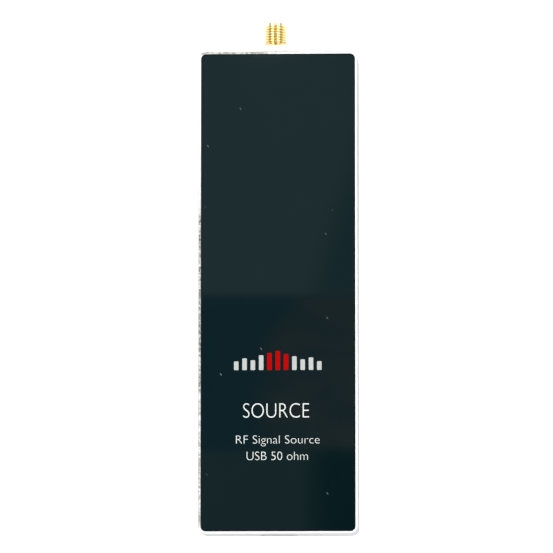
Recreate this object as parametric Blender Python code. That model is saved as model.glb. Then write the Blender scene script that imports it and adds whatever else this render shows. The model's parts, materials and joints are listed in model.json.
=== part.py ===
"""A slim USB radio-frequency signal generator, modelled piece by piece.

Frame: X across the unit, Y along it towards the coaxial jack, Z up through the front plate.
The unit rests on its four feet at Z = 0. All sizes are in metres.
Inside this script a place is given from the centre of the housing. One empty carries every
piece and shifts them along Y, so that the world origin is under the middle of the whole unit,
jack included.
"""

import math

import bmesh
import bpy

# Body of the unit.
BODY_WIDTH = 0.0437
BODY_LENGTH = 0.1325
BODY_THICKNESS = 0.0130
CORNER_RADIUS = 0.0021
EDGE_CHAMFER = 0.00015
BACK_CHAMFER = 0.0004
WALL = 0.0018
RIM_WIDTH = 0.0007
FOOT_HEIGHT = 0.0010
CAVITY_FILLET = 0.0008
NOTCH_FILLET = 0.0009

# Clearances between separate pieces.
GAP = 0.0003
PLATE_GAP = 0.00015
COAXIAL_GAP = 0.0001
BOARD_GAP = 0.0005

# Thicknesses of the stacked layers.
COVER_THICKNESS = 0.0020
LIP_HEIGHT = 0.0010
LIP_WIDTH = 0.0012
PLATE_THICKNESS = 0.0011
PLATE_PROUD = 0.0001
TAPE_THICKNESS = 0.0003
TAPE_WIDTH = 0.0028
TAPE_INNER_RADIUS = 0.0006
WEB_THICKNESS = 0.0013
BOARD_THICKNESS = 0.0016
BOARD_FILLET = 0.0006

# Coaxial jack: 1/4-36 UNS thread on a square-flanged edge-mount shell.
JACK_X = -0.0009
JACK_REACH = 0.0086
JACK_FLANGE = 0.00635
JACK_FLANGE_THICKNESS = 0.0020
THREAD_RADIUS = 0.003175
THREAD_PITCH = 0.0254 / 36
THREAD_DEPTH = 0.00038
THREAD_LEAD_IN = 0.0009
TIP_CHAMFER = 0.0002
JACK_BORE_RADIUS = 0.0021
JACK_MOUTH_RADIUS = 0.0023
JACK_MOUTH_DEPTH = 0.0020
CONTACT_RADIUS = 0.000635
CONTACT_BORE_RADIUS = 0.00047
CONTACT_BORE_DEPTH = 0.0025
CONTACT_TAB_RADIUS = 0.0003
CONTACT_TAB_LENGTH = 0.0030
CONTACT_EDGE = 0.0001
LEG_WIDTH = 0.0009
LEG_LENGTH = 0.0047
LEG_HEIGHT = 0.0012
LEG_INSET = 0.0008

# USB-C receptacle.
USB_WIDTH = 0.00894
USB_HEIGHT = 0.00326
USB_DEPTH = 0.0073
USB_INSET = 0.0002
USB_WALL = 0.0003
USB_TONGUE_WIDTH = 0.0066
USB_TONGUE_THICKNESS = 0.0007
USB_TONGUE_REACH = 0.0052
USB_STEM_LENGTH = 0.0010
USB_ROUNDNESS = 0.42

# Fasteners and feet.
POST_SIZE = 0.0051
POST_INSET = 0.0026
COVER_SCREW_RADIUS = 0.00115
COVER_SCREW_HEAD_RADIUS = 0.0023
COVER_SCREW_LENGTH = 0.0072
COVER_SCREW_LAND = 0.0002
COVER_KEY_RADIUS = 0.00085
COVER_KEY_DEPTH = 0.0009
BOARD_SCREW_RADIUS = 0.00095
BOARD_SCREW_HEAD_RADIUS = 0.0019
BOARD_SCREW_HEAD_HEIGHT = 0.0013
BOARD_KEY_RADIUS = 0.00075
BOARD_KEY_DEPTH = 0.0008
SCREW_EDGE = 0.0004
BOSS_RADIUS = 0.0025
BOSS_X = 0.0155
BOSS_Y = 0.0500
FOOT_RADIUS = 0.0040
FOOT_RECESS = 0.0005
FOOT_EDGE = 0.0004
FOOT_X = 0.0135
FOOT_Y = 0.0520

# Screening can over the radio-frequency part of the board, and the pad on top of it.
SHIELD_WIDTH = 0.0240
SHIELD_LENGTH = 0.0340
SHIELD_Y = 0.0390
SHIELD_HEIGHT = 0.0024
SHIELD_RADIUS = 0.0008
LID_SKIRT = 0.6
SHEET = 0.0003
PAD_SIZE = 0.0140

# Heights worked out from the sizes above.
BODY_BACK = FOOT_HEIGHT
BODY_FRONT = BODY_BACK + BODY_THICKNESS
COVER_TOP = BODY_BACK + COVER_THICKNESS
COVER_MIDDLE = BODY_BACK + COVER_THICKNESS / 2
HOUSING_BACK = COVER_TOP + GAP
PLATE_TOP = BODY_FRONT + PLATE_PROUD
PLATE_BOTTOM = PLATE_TOP - PLATE_THICKNESS
TAPE_TOP = PLATE_BOTTOM - GAP
RECESS_FLOOR = TAPE_TOP - TAPE_THICKNESS - GAP
CEILING = RECESS_FLOOR - WEB_THICKNESS
AXIS_HEIGHT = BODY_BACK + BODY_THICKNESS / 2
BOARD_TOP = AXIS_HEIGHT - CONTACT_TAB_RADIUS - GAP
BOARD_BOTTOM = BOARD_TOP - BOARD_THICKNESS
PART_BASE = BOARD_TOP + GAP

# Lengths worked out from the sizes above.
END = BODY_LENGTH / 2
CAVITY_HALF_WIDTH = BODY_WIDTH / 2 - WALL
CAVITY_HALF_LENGTH = END - WALL
JACK_TIP = END + JACK_REACH
FLANGE_BACK = END + GAP
FLANGE_FRONT = FLANGE_BACK + JACK_FLANGE_THICKNESS
FLANGE_MIDDLE = FLANGE_BACK + JACK_FLANGE_THICKNESS / 2
USB_MOUTH = -END + USB_INSET
UNIT_SHIFT = -(JACK_TIP - END) / 2

CORNER_STEPS = 7
FILLET_STEPS = 3
USB_CORNER_STEPS = 5
TURN_STEPS = 24
SMALL_TURN_STEPS = 16
HOLE_STEPS = 12
KEY_SIDES = 6
OVERCUT = 0.0010

COLORS = {
    "anodised": ((0.78, 0.79, 0.80), 0.38, 1.0),
    "plate": ((0.008, 0.024, 0.030), 0.06, 0.0),
    "tape": ((0.02, 0.02, 0.02), 0.80, 0.0),
    "gold": ((0.90, 0.62, 0.20), 0.25, 1.0),
    "ptfe": ((0.90, 0.90, 0.88), 0.55, 0.0),
    "steel": ((0.45, 0.45, 0.46), 0.32, 1.0),
    "rubber": ((0.03, 0.03, 0.03), 0.85, 0.0),
    "board": ((0.01, 0.09, 0.05), 0.45, 0.0),
    "tin": ((0.72, 0.72, 0.70), 0.30, 1.0),
    "black_resin": ((0.03, 0.03, 0.033), 0.55, 0.0),
    "pad": ((0.36, 0.48, 0.60), 0.85, 0.0),
    "ceramic": ((0.80, 0.78, 0.72), 0.50, 0.0),
    "tantalum": ((0.75, 0.42, 0.08), 0.45, 0.0),
    "ferrite": ((0.10, 0.10, 0.11), 0.65, 0.0),
}


# ---------------------------------------------------------------- tools

def material(name):
    """The named finish, made once."""
    if name in bpy.data.materials:
        return bpy.data.materials[name]
    color, roughness, metallic = COLORS[name]
    made = bpy.data.materials.new(name)
    made.use_nodes = True
    shader = made.node_tree.nodes["Principled BSDF"]
    shader.inputs["Base Color"].default_value = (*color, 1.0)
    shader.inputs["Roughness"].default_value = roughness
    shader.inputs["Metallic"].default_value = metallic
    return made


def add_object(name, mesh, finish, place=(0, 0, 0), turn=(0, 0, 0)):
    """Links an object for the mesh, under the empty that carries the unit."""
    made = bpy.data.objects.new(name, mesh)
    bpy.context.scene.collection.objects.link(made)
    made.location = place
    made.rotation_euler = turn
    made.parent = bpy.data.objects["unit"]
    if finish:
        mesh.materials.clear()
        mesh.materials.append(material(finish))
        mesh.shade_smooth()
        mesh.set_sharp_from_angle(angle=math.radians(30))
    return made


def rectangle(width, length, centre=(0, 0)):
    """A plain rectangle, anticlockwise."""
    x, y = centre
    signs = ((1, -1), (1, 1), (-1, 1), (-1, -1))
    return [(x + sx * width / 2, y + sy * length / 2) for sx, sy in signs]


def rounded_rectangle(width, length, radius, steps=CORNER_STEPS):
    """A rectangle with round corners, anticlockwise, centred on the origin."""
    return filleted(rectangle(width, length), radius, steps)


def filleted(corners, radius, steps=FILLET_STEPS):
    """The outline through square corners, each one rounded by an arc."""
    points = []
    count = len(corners)
    for index, (x, y) in enumerate(corners):
        before = corners[index - 1]
        after = corners[(index + 1) % count]
        inward = unit_vector(before[0] - x, before[1] - y)
        onward = unit_vector(after[0] - x, after[1] - y)
        centre_x = x + radius * (inward[0] + onward[0])
        centre_y = y + radius * (inward[1] + onward[1])
        for step in range(steps + 1):
            angle = step * math.pi / 2 / steps
            along = math.sin(angle)
            across = math.cos(angle)
            points.append((
                centre_x - radius * (onward[0] * across + inward[0] * along),
                centre_y - radius * (onward[1] * across + inward[1] * along),
            ))
    return points


def unit_vector(x, y):
    length = math.hypot(x, y)
    return (x / length, y / length)


def stacked_mesh(name, layers):
    """A closed solid through outlines of equal point count, listed from low to high."""
    work = bmesh.new()
    rings = [[work.verts.new((x, y, z)) for x, y in outline] for outline, z in layers]
    count = len(rings[0])
    work.faces.new(reversed(rings[0]))
    work.faces.new(rings[-1])
    for low, high in zip(rings, rings[1:]):
        for index in range(count):
            after = (index + 1) % count
            work.faces.new((low[index], low[after], high[after], high[index]))
    mesh = bpy.data.meshes.new(name)
    work.to_mesh(mesh)
    work.free()
    return mesh


def ring_mesh(name, outer, inner, low, high):
    """A closed frame between two outlines of equal point count."""
    work = bmesh.new()
    walls = []
    for outline, z in ((outer, low), (outer, high), (inner, high), (inner, low)):
        walls.append([work.verts.new((x, y, z)) for x, y in outline])
    count = len(outer)
    for one, two in zip(walls, walls[1:] + walls[:1]):
        for index in range(count):
            after = (index + 1) % count
            work.faces.new((one[index], one[after], two[after], two[index]))
    mesh = bpy.data.meshes.new(name)
    work.to_mesh(mesh)
    work.free()
    return mesh


def turned_mesh(name, profile, steps=TURN_STEPS):
    """A solid turned round Z from (radius, height) points, from the low centre round to the high centre."""
    work = bmesh.new()
    rings = []
    for radius, height in profile:
        if radius == 0:
            rings.append([work.verts.new((0, 0, height))])
            continue
        angles = [2 * math.pi * step / steps for step in range(steps)]
        rings.append([
            work.verts.new((radius * math.cos(angle), radius * math.sin(angle), height))
            for angle in angles
        ])
    for low, high in zip(rings, rings[1:]):
        for step in range(steps):
            after = (step + 1) % steps
            if len(low) == 1:
                work.faces.new((low[0], high[after], high[step]))
            elif len(high) == 1:
                work.faces.new((low[step], low[after], high[0]))
            else:
                work.faces.new((low[step], low[after], high[after], high[step]))
    mesh = bpy.data.meshes.new(name)
    work.to_mesh(mesh)
    work.free()
    return mesh


def combine(target, mesh, operation, place=(0, 0, 0), turn=(0, 0, 0)):
    """Adds a Boolean modifier to the target, with a hidden helper made from the mesh."""
    helper = add_object(mesh.name, mesh, None, place, turn)
    helper.hide_render = True
    helper.display_type = "WIRE"
    boolean = target.modifiers.new(mesh.name, "BOOLEAN")
    boolean.operation = operation
    boolean.solver = "EXACT"
    boolean.object = helper


def cut(target, mesh, place=(0, 0, 0), turn=(0, 0, 0)):
    combine(target, mesh, "DIFFERENCE", place, turn)


def fuse(target, mesh, place=(0, 0, 0), turn=(0, 0, 0)):
    combine(target, mesh, "UNION", place, turn)


def rod_mesh(name, radius, low, high, steps=TURN_STEPS):
    return turned_mesh(name, [(0, low), (radius, low), (radius, high), (0, high)], steps)


def block_mesh(name, width, length, height, centre=(0, 0, 0)):
    """A plain box. The centre is that of the box."""
    x, y, z = centre
    outline = rectangle(width, length, (x, y))
    return stacked_mesh(name, [(outline, z - height / 2), (outline, z + height / 2)])


ALONG_Y = (-math.pi / 2, 0, 0)
UPRIGHT = (math.pi / 2, 0, 0)


# ---------------------------------------------------------------- layout

def corner_places(x, y):
    """The four places (+-x, +-y), anticlockwise from the lower right."""
    return [(x, -y), (x, y), (-x, y), (-x, -y)]


def cover_screw_places():
    x = CAVITY_HALF_WIDTH - POST_INSET
    y = CAVITY_HALF_LENGTH - POST_INSET
    return corner_places(x, y) + [(x, 0), (-x, 0)]


def cavity_corners(inset):
    """Square corners of the cavity, which runs round four corner posts and two side posts."""
    wide = CAVITY_HALF_WIDTH - inset
    long = CAVITY_HALF_LENGTH - inset
    narrow = CAVITY_HALF_WIDTH - POST_SIZE - inset
    short = CAVITY_HALF_LENGTH - POST_SIZE - inset
    half_post = POST_SIZE / 2 + inset
    right = [
        (narrow, -long),
        (narrow, -short),
        (wide, -short),
        (wide, -half_post),
        (narrow, -half_post),
        (narrow, half_post),
        (wide, half_post),
        (wide, short),
        (narrow, short),
        (narrow, long),
    ]
    left = [(-x, -y) for x, y in right]
    return right + left


def cavity_outline(inset):
    return filleted(cavity_corners(inset), CAVITY_FILLET)


# ---------------------------------------------------------------- casing

def body_outline(inset):
    return rounded_rectangle(
        BODY_WIDTH - 2 * inset, BODY_LENGTH - 2 * inset, CORNER_RADIUS - inset
    )


def make_housing():
    """Milled tray: front web with a shallow recess, walls, screw posts and board bosses."""
    layers = [
        (body_outline(EDGE_CHAMFER), HOUSING_BACK),
        (body_outline(0), HOUSING_BACK + EDGE_CHAMFER),
        (body_outline(0), BODY_FRONT - EDGE_CHAMFER),
        (body_outline(EDGE_CHAMFER), BODY_FRONT),
    ]
    housing = add_object("housing", stacked_mesh("housing", layers), "anodised")
    cavity = cavity_outline(0)
    cut(housing, stacked_mesh("cavity", [(cavity, HOUSING_BACK - OVERCUT), (cavity, CEILING)]))
    recess = rounded_rectangle(
        BODY_WIDTH - 2 * RIM_WIDTH, BODY_LENGTH - 2 * RIM_WIDTH, CORNER_RADIUS - RIM_WIDTH
    )
    cut(housing, stacked_mesh("recess", [(recess, RECESS_FLOOR), (recess, BODY_FRONT + OVERCUT)]))
    for x, y in corner_places(BOSS_X, BOSS_Y):
        boss = rod_mesh("boss", BOSS_RADIUS, PART_BASE, CEILING + WEB_THICKNESS / 2)
        fuse(housing, boss, (x, y, 0))
        radius = BOARD_SCREW_RADIUS + GAP
        hole = rod_mesh("boss_hole", radius, PART_BASE - OVERCUT, CEILING + GAP, HOLE_STEPS)
        cut(housing, hole, (x, y, 0))
    for x, y in cover_screw_places():
        radius = COVER_SCREW_RADIUS + GAP
        end = BODY_BACK + COVER_SCREW_LENGTH + 2 * GAP
        hole = rod_mesh("post_hole", radius, HOUSING_BACK - OVERCUT, end, HOLE_STEPS)
        cut(housing, hole, (x, y, 0))
    jack_way = JACK_FLANGE - 2 * GAP
    cut_end_notch(housing, JACK_X, jack_way, jack_way, END - WALL / 2)
    cut_end_notch(housing, 0, USB_WIDTH + 2 * GAP, USB_HEIGHT + 2 * GAP, -END + WALL / 2)


def notch_outline(width, height, low):
    """End view of a notch that is open at the back, with its two front corners rounded."""
    right = width / 2
    high = height / 2
    square = [(-right, low), (right, low), (right, high), (-right, high)]
    per_corner = FILLET_STEPS + 1
    return square[:2] + filleted(square, NOTCH_FILLET)[2 * per_corner:]


def cut_end_notch(housing, x, width, height, y):
    """A notch through an end wall, centred on the connector axis and open to the back."""
    outline = notch_outline(width, height, HOUSING_BACK - OVERCUT - AXIS_HEIGHT)
    depth = WALL + OVERCUT
    notch = stacked_mesh("notch", [(outline, -depth / 2), (outline, depth / 2)])
    cut(housing, notch, (x, y, AXIS_HEIGHT), UPRIGHT)


def make_back_cover():
    """Back plate with a locating lip, a tab under each connector, and recesses for the feet."""
    layers = [
        (body_outline(BACK_CHAMFER), BODY_BACK),
        (body_outline(0), BODY_BACK + BACK_CHAMFER),
        (body_outline(0), COVER_TOP - EDGE_CHAMFER),
        (body_outline(EDGE_CHAMFER), COVER_TOP),
    ]
    cover = add_object("back_cover", stacked_mesh("back_cover", layers), "anodised")
    inner = cavity_outline(GAP + LIP_WIDTH)
    lip = ring_mesh("lip", cavity_outline(GAP), inner, COVER_MIDDLE, COVER_TOP + LIP_HEIGHT)
    fuse(cover, lip)
    jack_tab_top = AXIS_HEIGHT - JACK_FLANGE / 2 - GAP
    usb_tab_top = AXIS_HEIGHT - USB_HEIGHT / 2 - GAP
    add_tab(cover, JACK_X, JACK_FLANGE - 4 * GAP, jack_tab_top, END - WALL / 2)
    add_tab(cover, 0, USB_WIDTH, usb_tab_top, -END + WALL / 2)
    for x, y in cover_screw_places():
        cut(cover, countersink_mesh(), (x, y, 0))
    for x, y in corner_places(FOOT_X, FOOT_Y):
        recess = rod_mesh("foot_recess", FOOT_RADIUS, BODY_BACK - OVERCUT, BODY_BACK + FOOT_RECESS)
        cut(cover, recess, (x, y, 0))


def add_tab(cover, x, width, top, y):
    """A tab that stands on the cover and closes the notch under a connector."""
    tab = block_mesh("tab", width, WALL, top - COVER_MIDDLE, (0, 0, (top + COVER_MIDDLE) / 2))
    fuse(cover, tab, (x, y, 0))


def countersink_mesh():
    """Clearance for a countersunk screw that enters from the back."""
    wide = COVER_SCREW_HEAD_RADIUS + COAXIAL_GAP
    narrow = COVER_SCREW_RADIUS + GAP
    taper = wide - narrow
    return turned_mesh("countersink", [
        (0, BODY_BACK - OVERCUT),
        (wide, BODY_BACK - OVERCUT),
        (wide, BODY_BACK + GAP),
        (narrow, BODY_BACK + GAP + taper),
        (narrow, COVER_TOP + LIP_HEIGHT + OVERCUT),
        (0, COVER_TOP + LIP_HEIGHT + OVERCUT),
    ])


def make_front_plate():
    """Flat plate in the recess of the housing, and the tape frame that bonds it."""
    width = BODY_WIDTH - 2 * RIM_WIDTH - 2 * PLATE_GAP
    length = BODY_LENGTH - 2 * RIM_WIDTH - 2 * PLATE_GAP
    radius = CORNER_RADIUS - RIM_WIDTH - PLATE_GAP

    def outline(inset):
        return rounded_rectangle(width - 2 * inset, length - 2 * inset, radius - inset)

    layers = [
        (outline(0), PLATE_BOTTOM),
        (outline(0), PLATE_TOP - EDGE_CHAMFER),
        (outline(EDGE_CHAMFER), PLATE_TOP),
    ]
    add_object("front_plate", stacked_mesh("front_plate", layers), "plate")
    opening = rounded_rectangle(width - 2 * TAPE_WIDTH, length - 2 * TAPE_WIDTH, TAPE_INNER_RADIUS)
    tape = ring_mesh("front_plate_tape", outline(GAP), opening, TAPE_TOP - TAPE_THICKNESS, TAPE_TOP)
    add_object("front_plate_tape", tape, "tape")


def make_cover_screws():
    """Six countersunk screws, heads towards the back."""
    head_back = BODY_BACK + COAXIAL_GAP / 2
    taper = COVER_SCREW_HEAD_RADIUS - COVER_SCREW_RADIUS
    end = BODY_BACK + COVER_SCREW_LENGTH
    profile = [
        (0, head_back),
        (COVER_SCREW_HEAD_RADIUS - COVER_SCREW_LAND / 2, head_back),
        (COVER_SCREW_HEAD_RADIUS, head_back + COVER_SCREW_LAND / 2),
        (COVER_SCREW_HEAD_RADIUS, head_back + COVER_SCREW_LAND),
        (COVER_SCREW_RADIUS, head_back + COVER_SCREW_LAND + taper),
        (COVER_SCREW_RADIUS, end - COVER_SCREW_LAND),
        (COVER_SCREW_RADIUS - COVER_SCREW_LAND, end),
        (0, end),
    ]
    key_end = head_back + COVER_KEY_DEPTH
    for number, (x, y) in enumerate(cover_screw_places(), 1):
        name = f"cover_screw_{number}"
        screw = add_object(name, turned_mesh(name, profile), "steel", (x, y, 0))
        key = rod_mesh("cover_key", COVER_KEY_RADIUS, BODY_BACK - OVERCUT, key_end, KEY_SIDES)
        cut(screw, key, (x, y, 0))


def make_feet():
    """Four round feet, each stuck in its recess."""
    radius = FOOT_RADIUS - GAP
    bevel = FOOT_EDGE * (1 - math.sqrt(0.5))
    profile = [
        (0, 0),
        (radius - FOOT_EDGE, 0),
        (radius - bevel, bevel),
        (radius, FOOT_EDGE),
        (radius, BODY_BACK + FOOT_RECESS - GAP),
        (0, BODY_BACK + FOOT_RECESS - GAP),
    ]
    for number, (x, y) in enumerate(corner_places(FOOT_X, FOOT_Y), 1):
        name = f"foot_{number}"
        add_object(name, turned_mesh(name, profile), "rubber", (x, y, 0))


# ---------------------------------------------------------------- circuit board

def make_circuit_board():
    """Board with a tongue to the jack, a bay for the receptacle, and notches round the posts."""
    outline = filleted(cavity_corners(BOARD_GAP), BOARD_FILLET)
    mesh = stacked_mesh("circuit_board", [(outline, BOARD_BOTTOM), (outline, BOARD_TOP)])
    board = add_object("circuit_board", mesh, "board")
    middle = (BOARD_TOP + BOARD_BOTTOM) / 2
    tongue_start = CAVITY_HALF_LENGTH - 2 * BOARD_GAP
    tongue_length = END - tongue_start
    tongue_width = JACK_FLANGE - 5 * GAP
    tongue = block_mesh("tongue", tongue_width, tongue_length, BOARD_THICKNESS)
    fuse(board, tongue, (JACK_X, tongue_start + tongue_length / 2, middle))
    bay_end = USB_MOUTH + USB_DEPTH + GAP
    bay_start = -END
    bay = block_mesh("bay", USB_WIDTH + 2 * GAP, bay_end - bay_start, BOARD_THICKNESS + OVERCUT)
    cut(board, bay, (0, (bay_end + bay_start) / 2, middle))
    for x, y in corner_places(BOSS_X, BOSS_Y):
        radius = BOARD_SCREW_RADIUS + GAP
        hole = rod_mesh("board_hole", radius, BOARD_BOTTOM - OVERCUT, BOARD_TOP + OVERCUT, HOLE_STEPS)
        cut(board, hole, (x, y, 0))


def make_board_screws():
    """Four cap screws that hold the board to the bosses, heads towards the back."""
    head_top = BOARD_BOTTOM - GAP
    head_low = head_top - BOARD_SCREW_HEAD_HEIGHT
    profile = [
        (0, head_low),
        (BOARD_SCREW_HEAD_RADIUS - SCREW_EDGE, head_low),
        (BOARD_SCREW_HEAD_RADIUS, head_low + SCREW_EDGE),
        (BOARD_SCREW_HEAD_RADIUS, head_top),
        (BOARD_SCREW_RADIUS, head_top),
        (BOARD_SCREW_RADIUS, CEILING - SCREW_EDGE),
        (BOARD_SCREW_RADIUS - SCREW_EDGE / 2, CEILING),
        (0, CEILING),
    ]
    key_end = head_low + BOARD_KEY_DEPTH
    for number, (x, y) in enumerate(corner_places(BOSS_X, BOSS_Y), 1):
        name = f"board_screw_{number}"
        screw = add_object(name, turned_mesh(name, profile, SMALL_TURN_STEPS), "steel", (x, y, 0))
        key = rod_mesh("board_key", BOARD_KEY_RADIUS, head_low - OVERCUT, key_end, KEY_SIDES)
        cut(screw, key, (x, y, 0))


# ---------------------------------------------------------------- coaxial jack

def jack_outside():
    """(radius, distance) points along the barrel, where rings stand for the turns of the thread."""
    root = THREAD_RADIUS - THREAD_DEPTH
    points = [(root, FLANGE_MIDDLE)]
    thread_end = JACK_TIP - THREAD_LEAD_IN
    turns = int((thread_end - FLANGE_FRONT) / THREAD_PITCH)
    half_crest = THREAD_PITCH / 8
    for turn in range(turns, 0, -1):
        low = thread_end - turn * THREAD_PITCH
        middle = low + THREAD_PITCH / 2
        points += [(root, low), (THREAD_RADIUS, middle - half_crest), (THREAD_RADIUS, middle + half_crest)]
    points += [(root, thread_end), (root, JACK_TIP - TIP_CHAMFER), (root - TIP_CHAMFER, JACK_TIP)]
    return points


def make_jack():
    """Shell with square flange and four solder legs, insulator bead and centre socket."""
    profile = [(0, FLANGE_MIDDLE)] + jack_outside() + [(0, JACK_TIP)]
    barrel = turned_mesh("rf_jack_shell", profile)
    shell = add_object("rf_jack_shell", barrel, "gold", (JACK_X, 0, AXIS_HEIGHT), ALONG_Y)
    flange = block_mesh("flange", JACK_FLANGE, JACK_FLANGE_THICKNESS, JACK_FLANGE)
    fuse(shell, flange, (JACK_X, FLANGE_MIDDLE, AXIS_HEIGHT))
    flange_low = AXIS_HEIGHT - JACK_FLANGE / 2
    for side in (-1, 1):
        leg_x = JACK_X + side * (JACK_FLANGE / 2 - LEG_INSET - LEG_WIDTH / 2)
        add_leg(shell, leg_x, PART_BASE, PART_BASE + LEG_HEIGHT)
        add_leg(shell, leg_x, flange_low + COAXIAL_GAP, BOARD_BOTTOM - GAP)
    bore_start = FLANGE_BACK - OVERCUT
    mouth = JACK_TIP - JACK_MOUTH_DEPTH
    bore = turned_mesh("bore", [
        (0, bore_start),
        (JACK_BORE_RADIUS, bore_start),
        (JACK_BORE_RADIUS, mouth),
        (JACK_MOUTH_RADIUS, mouth),
        (JACK_MOUTH_RADIUS, JACK_TIP + OVERCUT),
        (0, JACK_TIP + OVERCUT),
    ])
    cut(shell, bore, (JACK_X, 0, AXIS_HEIGHT), ALONG_Y)
    make_jack_insulator(mouth)
    make_jack_contact(mouth)


def add_leg(shell, x, low, high):
    """A solder leg from inside the flange back over or under the board."""
    length = LEG_LENGTH + JACK_FLANGE_THICKNESS / 2
    leg = block_mesh("leg", LEG_WIDTH, length, high - low)
    fuse(shell, leg, (x, FLANGE_MIDDLE - length / 2, (high + low) / 2))


def make_jack_insulator(front):
    """Bead between the shell and the centre contact."""
    rod = rod_mesh("rf_jack_insulator", JACK_BORE_RADIUS - COAXIAL_GAP, FLANGE_BACK, front)
    bead = add_object("rf_jack_insulator", rod, "ptfe", (JACK_X, 0, AXIS_HEIGHT), ALONG_Y)
    hole = rod_mesh("bead_hole", CONTACT_RADIUS + COAXIAL_GAP, FLANGE_BACK - OVERCUT, front + OVERCUT)
    cut(bead, hole, (JACK_X, 0, AXIS_HEIGHT), ALONG_Y)


def make_jack_contact(front):
    """Socket for the mating pin, with a thin tab that lies on the board."""
    back = FLANGE_BACK - CONTACT_TAB_LENGTH
    profile = [
        (0, back),
        (CONTACT_TAB_RADIUS, back),
        (CONTACT_TAB_RADIUS, FLANGE_BACK),
        (CONTACT_RADIUS, FLANGE_BACK),
        (CONTACT_RADIUS, front - CONTACT_EDGE),
        (CONTACT_RADIUS - CONTACT_EDGE / 2, front),
        (CONTACT_BORE_RADIUS, front),
        (CONTACT_BORE_RADIUS, front - CONTACT_BORE_DEPTH),
        (0, front - CONTACT_BORE_DEPTH),
    ]
    contact = turned_mesh("rf_jack_contact", profile, SMALL_TURN_STEPS)
    add_object("rf_jack_contact", contact, "gold", (JACK_X, 0, AXIS_HEIGHT), ALONG_Y)


# ---------------------------------------------------------------- USB receptacle

def make_usb():
    """Receptacle shell open at its mouth, and the tongue that carries the contacts."""
    place = (0, USB_MOUTH + USB_DEPTH / 2, AXIS_HEIGHT)
    half_depth = USB_DEPTH / 2

    def outline(inset):
        height = USB_HEIGHT - 2 * inset
        return rounded_rectangle(USB_WIDTH - 2 * inset, height, height * USB_ROUNDNESS, USB_CORNER_STEPS)

    shell_mesh = stacked_mesh("usb_shell", [(outline(0), -half_depth), (outline(0), half_depth)])
    shell = add_object("usb_shell", shell_mesh, "steel", place, UPRIGHT)
    inside = stacked_mesh("usb_inside", [
        (outline(USB_WALL), -half_depth + 2 * USB_WALL),
        (outline(USB_WALL), half_depth + OVERCUT),
    ])
    cut(shell, inside, place, UPRIGHT)
    back = USB_MOUTH + USB_DEPTH - 2 * USB_WALL - COAXIAL_GAP
    blade = block_mesh("usb_tongue", USB_TONGUE_WIDTH, USB_TONGUE_REACH, USB_TONGUE_THICKNESS)
    blade_place = (0, back - USB_TONGUE_REACH / 2, AXIS_HEIGHT)
    tongue = add_object("usb_tongue", blade, "black_resin", blade_place)
    stem_height = USB_HEIGHT - 2 * USB_WALL - 4 * COAXIAL_GAP
    stem_width = USB_TONGUE_WIDTH - stem_height / 2
    stem = block_mesh("stem", stem_width, USB_STEM_LENGTH, stem_height)
    fuse(tongue, stem, (0, back - USB_STEM_LENGTH / 2, AXIS_HEIGHT))


# ---------------------------------------------------------------- parts on the board

def package_mesh(name, width, length, height):
    """A moulded or pressed package: square base, slightly drawn-in top edge."""
    edge = min(width, length, height) / 8
    foot = rectangle(width, length)
    crown = rectangle(width - 2 * edge, length - 2 * edge)
    return stacked_mesh(name, [(foot, 0), (foot, height - edge), (crown, height)])


def make_board_parts():
    """Packages on the front side of the board: name, finish, (x, y), (width, length, height)."""
    packages = (
        ("attenuator_chip", "black_resin", (-0.0009, 0.0500), (0.0040, 0.0040, 0.0009)),
        ("amplifier_chip", "black_resin", (-0.0009, 0.0430), (0.0030, 0.0030, 0.0009)),
        ("output_filter", "ceramic", (-0.0009, 0.0368), (0.0025, 0.0040, 0.0010)),
        ("synthesizer_chip", "black_resin", (-0.0009, 0.0290), (0.0060, 0.0060, 0.0009)),
        ("loop_regulator", "black_resin", (0.0070, 0.0290), (0.0030, 0.0030, 0.0009)),
        ("reference_oscillator", "tin", (-0.0009, 0.0150), (0.0050, 0.0070, 0.0018)),
        ("controller_chip", "black_resin", (0.0000, -0.0080), (0.0070, 0.0070, 0.0010)),
        ("controller_crystal", "tin", (0.0075, -0.0080), (0.0025, 0.0032, 0.0008)),
        ("memory_chip", "black_resin", (-0.0090, -0.0080), (0.0040, 0.0050, 0.0015)),
        ("regulator_analog", "black_resin", (-0.0080, -0.0260), (0.0065, 0.0036, 0.0016)),
        ("regulator_digital", "black_resin", (0.0080, -0.0260), (0.0065, 0.0036, 0.0016)),
        ("converter_chip", "black_resin", (0.0000, -0.0370), (0.0030, 0.0030, 0.0009)),
        ("converter_inductor", "ferrite", (-0.0080, -0.0380), (0.0050, 0.0050, 0.0026)),
        ("output_capacitor", "tantalum", (0.0080, -0.0350), (0.0028, 0.0035, 0.0019)),
        ("input_capacitor", "tantalum", (0.0080, -0.0430), (0.0028, 0.0035, 0.0019)),
        ("ferrite_bead", "ferrite", (0.0030, -0.0480), (0.0016, 0.0032, 0.0011)),
        ("usb_protection_chip", "black_resin", (-0.0020, -0.0530), (0.0029, 0.0016, 0.0011)),
    )
    for name, finish, (x, y), size in packages:
        add_object(name, package_mesh(name, *size), finish, (x, y, PART_BASE))


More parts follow.
